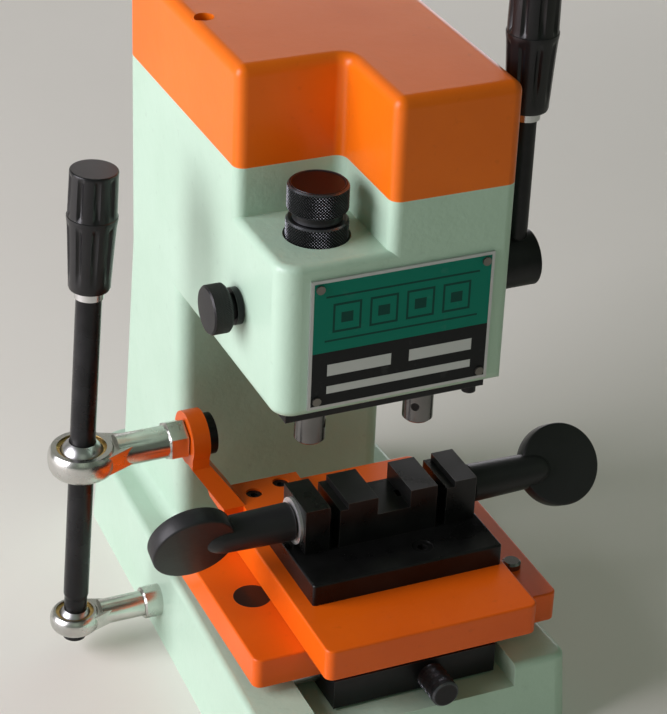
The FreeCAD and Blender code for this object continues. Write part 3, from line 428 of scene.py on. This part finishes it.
# Carrier lock on the left of the head: a blacked thumb screw with a finely knurled rim, a slim neck
# and a flange against the paint.
HAIR = 0.0001
RIM_LONG = 0.009
LOCK_NECK = 0.006
FLANGE = 0.0085
FLANGE_NEAR = 0.0117
FLANGE_FAR = 0.0146
LOCK_STEM = 0.004
ACROSS = Matrix.Rotation(math.radians(90), 4, "Y")
low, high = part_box("carrier_lock_knob")
side = Matrix.Translation((0, (low[1] + high[1]) / 2, (low[2] + high[2]) / 2)) @ ACROSS
rim_radius = (high[1] - low[1]) / 2
rings = knurled_band(rim_radius, low[0], low[0] + RIM_LONG, steps=54)
rings += drum(LOCK_NECK, low[0] + RIM_LONG + HAIR, low[0] + FLANGE_NEAR)
rings += drum(FLANGE, low[0] + FLANGE_NEAR, low[0] + FLANGE_FAR)
rings += drum(LOCK_STEM, low[0] + FLANGE_FAR + HAIR, high[0])
lock = lathe("carrier_lock_knurled", rings, segments=240, relief=knurl(KNURLS, rim_radius, depth=0.0003),
             where=side)
finish(lock, black_steel, "carrier_lock", "black_steel", "carrier_lock_knob")

# Lever grips: moulded glossy black plastic with nine finger grooves above and below a raised ridge,
# flat on top, pushed over a plated collar on the rod.
GROOVES = 9
GROOVE_HALF = 0.2
GROOVE_DEEP = 0.0011
jet = (0.004, 0.004, 0.005)
thumbed_black = (0.008, 0.008, 0.009)
gloss = Shader("grip_plastic", Specular_IOR_Level=0.34, Coat_Roughness=0.1)
smear = gloss.noise(scale=70, detail=4)
gloss.set(Base_Color=gloss.mix(smear, jet, thumbed_black), Roughness=0.24 + smear * 0.18,
          Coat_Weight=0.08 + smear * 0.1)
gloss.bump(gloss.noise(scale=900, detail=2), strength=0.06, distance=0.0001)


def groove(angle, height):
    """Narrow rounded grooves set evenly round the grip."""
    off = abs(angle * GROOVES / (2 * math.pi) % 1 - 0.5)
    share = max(0, 1 - off / GROOVE_HALF)
    return GROOVE_DEEP * share * (2 - share)


def fluted(name, where):
    """The handle's turned outline, as (radius, height, groove share), with its grooves pressed in."""
    foot = [(0.0078, 0, 0), (0.0092, 0.0005, 0), (0.0096, 0.0016, 0), (0.0097, 0.0045, 0)]
    waist = [(0.0099, 0.0075, 0.2), (0.0101, 0.0120, 0.8), (0.0104, 0.0180, 1), (0.0108, 0.0260, 1),
             (0.0111, 0.0310, 1), (0.0113, 0.0330, 0.2)]
    ridge = [(0.0115, 0.0344, 0), (0.0116, 0.0352, 0), (0.0116, 0.0364, 0), (0.0113, 0.0366, 0)]
    upper = [(0.0112, 0.0378, 0.2), (0.0112, 0.0392, 1), (0.0111, 0.0470, 1), (0.0110, 0.0550, 1),
             (0.0110, 0.0566, 0.2)]
    top = [(0.0110, 0.0576, 0), (0.0108, 0.0582, 0), (0.0104, 0.0585, 0), (0.0096, 0.0585, 0)]
    outline = foot + waist + ridge + upper + top
    return lathe(name, outline, segments=216, relief=groove, where=where)


low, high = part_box("feed_grip")
grip_axis = Matrix.Translation(((low[0] + high[0]) / 2, (low[1] + high[1]) / 2, low[2]))
finish(fluted("feed_grip_fluted", grip_axis), gloss.material, "feed_lever", "grip_plastic", "feed_grip")
dress(black_steel, "feed_hub", "feed_rod", edge=0.0008)
chrome = bright("plated_collar", colour=(0.72, 0.72, 0.72), rough=0.18, grain=0.06)
dress(chrome, "feed_collar", edge=0.0004)

# Power inlet: a plain moulded socket let into the rear of the head, of the same glossy black plastic
# as the grips, with its edges broken.
dress(gloss.material, "power_inlet", edge=0.0008)

# Two-way table: iron slides sprayed the same orange as the lid, rubbed at their corners, with a black plug
# and a dull stop screw in the lower one. They run on ground rods and rails and a blacked block,
# which a knurled screw locks from the front.
LOCK_STUD = 0.003
LOCK_INSET = 0.0012
LOCK_KNURLS = 44
table_orange = painted("orange_table_paint", colour=(0.82, 0.125, 0.004), deep=(0.75, 0.105, 0.003),
                       rough=0.36, grain=0.10)
dress(plain_steel, "x_guide_rods", "y_guide_rails", edge=0.0003)
dress(black_steel, "x_slide_block", edge=0.0005)
dress(table_orange, "lower_table", "upper_table", "table_arm", edge=0.0008)
dress(gloss.material, "table_plug", edge=0.0008)
dress(nose_steel, "table_stop_screw", edge=0.0004)
dress(black_steel, "arm_screws", "arm_nut", edge=0.0006)
FORWARD = Matrix.Rotation(math.radians(90), 4, "X")
low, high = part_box("table_lock_screw")
block_low, block_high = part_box("x_slide_block")
front = Matrix.Translation(((low[0] + high[0]) / 2, 0, (low[2] + high[2]) / 2)) @ FORWARD
lock_radius = (high[0] - low[0]) / 2
head_back = 2 * HAIR - block_low[1]
rings = drum(LOCK_STUD, -high[1], head_back)
rings += [(lock_radius - LOCK_INSET, head_back + HAIR, 0)]
rings += knurled_band(lock_radius, head_back + 2 * HAIR, -low[1], steps=96)
lock = lathe("table_lock_knurled", rings, segments=264, relief=knurl(LOCK_KNURLS, lock_radius, depth=0.0006),
             where=front)
finish(lock, knurled.material, "table_lock", "black_steel", "table_lock_screw")

# Twin vises: blacked steel with milled jaws whose edges shine where keys have rubbed them,
# fixed through the plate by a socket screw.
vise_steel = blackened("vise_black_steel", colour=(0.006, 0.006, 0.006), rough=0.3, wear=0.3)
dress(vise_steel, "vise_body", "left_jaw", "right_jaw", "vise_screw", edge=0.0005)
washer_steel = bright("white_washer_steel", colour=(0.80, 0.80, 0.80), rough=0.5, grain=0.1)
dress(washer_steel, "left_washer", edge=0.0003)

# Wing screws: cast iron clamp screws, painted black, each with a round neck that thins into
# a flat thumb paddle with softened edges.
WING_STUD = 0.004
WING_NECK = 0.0482
PADDLE = 0.0197
NECK_OUTLINE = [(0.0080, 0), (0.0090, 0.0012), (0.0088, 0.012), (0.0085, 0.024), (0.0082, 0.034),
                (0.0075, 0.0375), (0.0062, 0.0403), (0.0044, 0.0422), (0.0020, 0.0431)]
PADDLE_EDGE = [(0.0184, 0.0045), (0.0191, 0.0044), (0.0195, 0.0041), (PADDLE, 0.0036)]
cast_black = painted("black_cast_paint", colour=(0.014, 0.014, 0.015), deep=(0.022, 0.022, 0.023),
                     rough=0.46, grain=0.3)


def plain(angle, height):
    """No relief: a smooth turned skin."""
    return 0.0


def wing(name, node, body, sign, turn):
    """Screw and round neck on one axis, and a flat paddle with softened edges at the end."""
    low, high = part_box(node)
    y = (low[1] + high[1]) / 2
    z = (low[2] + high[2]) / 2
    end = low[0] if sign < 0 else high[0]
    tip = high[0] if sign < 0 else low[0]
    paddle_x = end - sign * PADDLE
    start = paddle_x * sign - WING_NECK
    line = Matrix.Translation((0, y, z)) @ Matrix.Rotation(math.radians(90 * sign), 4, "Y")
    profile = drum(WING_STUD, tip * sign, start - HAIR)
    profile += [(radius, start + along, 0) for radius, along in NECK_OUTLINE]
    neck = lathe(name, profile, segments=64, relief=plain, where=line)
    face = [(radius, -half, 0) for radius, half in PADDLE_EDGE] + [(PADDLE, 0, 0)]
    face += [(radius, half, 0) for radius, half in reversed(PADDLE_EDGE)]
    spin = Matrix.Rotation(math.radians(turn), 4, "X") @ FORWARD
    flat = Matrix.Translation((paddle_x, y, z)) @ spin
    paddle = lathe(name + "_paddle", face, segments=96, relief=plain, where=flat)
    paddle.data.materials.append(cast_black)
    paddle.parent = neck
    finish(neck, cast_black, body, "black_steel", node)


wing("left_wing_screw", "left_wing_knob", "left_screw", sign=-1, turn=20)
wing("right_wing_screw", "right_wing_knob", "right_screw", sign=1, turn=-35)

# Control lever: a blacked rod through two zinc-plated rod ends with brass races and steel balls,
# the lower one screwed to the base and the upper one to the table's arm.
BARREL = 0.0017
EYE_TURNS = 96
ARC_STEPS = 16
NECK_SUNK = 0.0012
NECK_REACH = 1.45
NECK_THICK = 0.8
SHANK_GAP = 0.0005
STUD = 0.005
COLLAR_ABOVE = 0.0846
COLLAR_TALL = 0.004
zinc = bright("zinc_plate", colour=(0.66, 0.66, 0.63), rough=0.27, grain=0.1)


def eye(name, radius, hollow, wide, where):
    """A rod end's head: a barrel-sided ring with a round seat inside, revolved about the eye."""
    steps = [i / 6 - 1 for i in range(13)]
    outside = [(radius - BARREL * abs(t) ** 3, wide / 2 * t) for t in steps]
    inside = [(math.sqrt(hollow ** 2 - (wide / 2 * t) ** 2), wide / 2 * t) for t in reversed(steps)]
    loop = outside + inside
    mesh = bpy.data.meshes.new(name)
    points = []
    for i in range(EYE_TURNS):
        angle = 2 * math.pi * i / EYE_TURNS
        points += [where @ Vector((r * math.cos(angle), r * math.sin(angle), z)) for r, z in loop]
    count = len(loop)
    faces = []
    for i in range(EYE_TURNS):
        here = i * count
        there = (i + 1) % EYE_TURNS * count
        for j in range(count):
            k = (j + 1) % count
            faces.append((here + j, there + j, there + k, here + k))
    mesh.from_pydata(points, [], faces)
    return shown(name, mesh)


def web(name, radius, shank, reach, thick, where):
    """The flat neck that runs from the sides of the head into the round shank, with soft edges."""
    tail = math.sqrt(shank ** 2 - (thick / 2) ** 2)
    touch = math.acos((radius - tail) / reach)
    inner = radius - NECK_SUNK
    turns = [touch * (1 - 2 * i / ARC_STEPS) for i in range(ARC_STEPS + 1)]
    plan = [(inner * math.cos(a), inner * math.sin(a)) for a in turns] + [(reach, -tail), (reach, tail)]
    count = len(plan)
    points = [where @ Vector((x, y, z)) for z in (-thick / 2, thick / 2) for x, y in plan]
    sides = [((i + 1) % count, i, i + count, (i + 1) % count + count) for i in range(count)]
    mesh = bpy.data.meshes.new(name)
    mesh.from_pydata(points, [], sides + [tuple(range(count)), tuple(range(2 * count - 1, count - 1, -1))])
    piece = shown(name, mesh)
    soft = piece.modifiers.new("soft_edge", "BEVEL")
    soft.width = 0.0009
    soft.segments = 3
    soft.limit_method = "ANGLE"
    soft.angle_limit = math.radians(50)
    return piece


def rod_end(node, body, wide, seat, shank, tail, corners, collar):
    """Head, neck, shank and fixing collar of one rod end; the collar is measured back from the end."""
    low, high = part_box(node)
    radius = (high[1] - low[1]) / 2
    where = Matrix.Translation((low[0] + radius, (low[1] + high[1]) / 2, (low[2] + high[2]) / 2))
    head = eye(node + "_head", radius, seat, wide, where)
    neck = web(node + "_neck", radius, shank, radius * NECK_REACH, wide * NECK_THICK, where)
    length = high[0] - low[0] - radius
    bar = drum(shank, radius + SHANK_GAP, length - tail) + drum(STUD, length - tail, length)
    stem = lathe(node + "_shank", bar, segments=64, relief=plain, where=where @ ACROSS)
    rings = [(width, length - back, 0) for width, back in collar]
    nut = lathe(node + "_collar", rings, segments=corners, relief=plain, where=where @ ACROSS)
    for part in (neck, stem, nut):
        part.data.materials.append(zinc)
        part.parent = head
    finish(head, zinc, body, "zinc", node)


rod_end("rod_end_lower", "frame", wide=0.009, seat=0.0102, shank=0.0062, tail=0.004, corners=64,
        collar=[(0.0062, 0.0095), (0.0070, 0.0095), (0.0078, 0.0087), (0.0078, 0)])
rod_end("rod_end_upper", "y_slide", wide=0.012, seat=0.0132, shank=0.0078, tail=0.020, corners=6,
        collar=[(0.0086, 0.0235), (0.0100, 0.0227), (0.0100, 0.0143), (0.0086, 0.0135)])
dress(brass, "lower_race", "upper_race", edge=0.0003)
dress(plain_steel, "lower_ball", "upper_ball")
rod_steel = blackened("oiled_rod_steel", colour=(0.008, 0.008, 0.009), rough=0.26, wear=0.15)
dress(rod_steel, "control_rod", edge=0.0008)
dress(chrome, "control_collar", edge=0.0004)
pivots = {joint["name"]: joint["pos_m"] for joint in frame["joints"] if "pos_m" in joint}
foot = Vector(pivots["lower_swivel_turn"])
rod = Vector(pivots["upper_swivel_turn"]) - foot
rise = rod.z + COLLAR_ABOVE + COLLAR_TALL
lean = Matrix.Rotation(math.atan(rod.x / rod.z), 4, "Y")
lever_line = Matrix.Translation(foot + rod * (rise / rod.z)) @ lean
control_grip = fluted("control_grip_fluted", lever_line)
finish(control_grip, gloss.material, "control_lever", "grip_plastic", "control_grip")

# Studio: a pale floor that runs up into a wall, a broad soft key from the upper left, a weak fill from the
# right, a weak lamp in front, a low one behind for the edges, and the camera at the photograph's place.
FLOOR_HALF = 3
AIM = Vector((0, -0.02, 0.14))
CAMERA_PLACE = (-0.4029, -0.9078, 0.7129)
AZIMUTH = math.radians(-24.78)
ELEVATION = math.radians(29.97)
ROLL = math.radians(2.41)
floor_line = [(-3, 0), (1.2, 0), (1.6, 0.06), (1.85, 0.25), (2.0, 0.6), (2.0, 3.0)]
floor_points = [(x, y, z) for y, z in floor_line for x in (-FLOOR_HALF, FLOOR_HALF)]
strips = [(2 * i, 2 * i + 1, 2 * i + 3, 2 * i + 2) for i in range(len(floor_line) - 1)]
floor_mesh = bpy.data.meshes.new("floor")
floor_mesh.from_pydata(floor_points, [], strips)
floor_mesh.shade_smooth()
floor = bpy.data.objects.new("floor", floor_mesh)
bpy.context.collection.objects.link(floor)
floor_shade = (0.80, 0.765, 0.71)
floor_pale = (0.85, 0.815, 0.76)
pale = Shader("pale_floor", Specular_IOR_Level=0.2)
grain = pale.noise(scale=6, detail=4)
pale.set(Base_Color=pale.mix(grain, floor_shade, floor_pale), Roughness=0.6 + grain * 0.1)
floor_mesh.materials.append(pale.material)
world = bpy.data.worlds.new("studio")
bpy.context.scene.world = world
world.use_nodes = True
sky = world.node_tree.nodes["Background"]
sky.inputs["Color"].default_value = (0.83, 1.0, 0.80, 1)
sky.inputs["Strength"].default_value = 0.14
day = (0.97, 0.93, 1.0)
shade_light = (0.85, 1.0, 0.79)
lamps = (("key", (-1.5, 0.05, 0.75), 1.2, 36, day), ("fill", (1.3, -0.9, 0.9), 1.2, 0.85, shade_light),
         ("front", (-0.5, -1.6, 1.1), 1.0, 1.05, shade_light), ("back", (0.9, 1.5, 0.3), 1.0, 8, day))
for name, place, size, power, tint in lamps:
    lamp = bpy.data.lights.new(name, "AREA")
    lamp.size = size
    lamp.energy = power
    lamp.color = tint
    light = bpy.data.objects.new(name, lamp)
    light.location = place
    light.rotation_euler = (AIM - Vector(place)).to_track_quat("-Z", "Y").to_euler()
    bpy.context.collection.objects.link(light)
back = Vector((math.sin(AZIMUTH) * math.cos(ELEVATION), -math.cos(AZIMUTH) * math.cos(ELEVATION),
               math.sin(ELEVATION)))
level = Vector((math.cos(AZIMUTH), math.sin(AZIMUTH), 0))
upward = back.cross(level)
right = level * math.cos(ROLL) + upward * math.sin(ROLL)
over = upward * math.cos(ROLL) - level * math.sin(ROLL)
turned = Matrix((right, over, back)).transposed().to_4x4()
view = bpy.data.cameras.new("photo_view")
view.lens = 121.33
view.sensor_width = 36
camera = bpy.data.objects.new("photo_view", view)
camera.matrix_world = Matrix.Translation(CAMERA_PLACE) @ turned
bpy.context.collection.objects.link(camera)
bpy.context.scene.camera = camera
bpy.context.scene.view_settings.view_transform = "Standard"
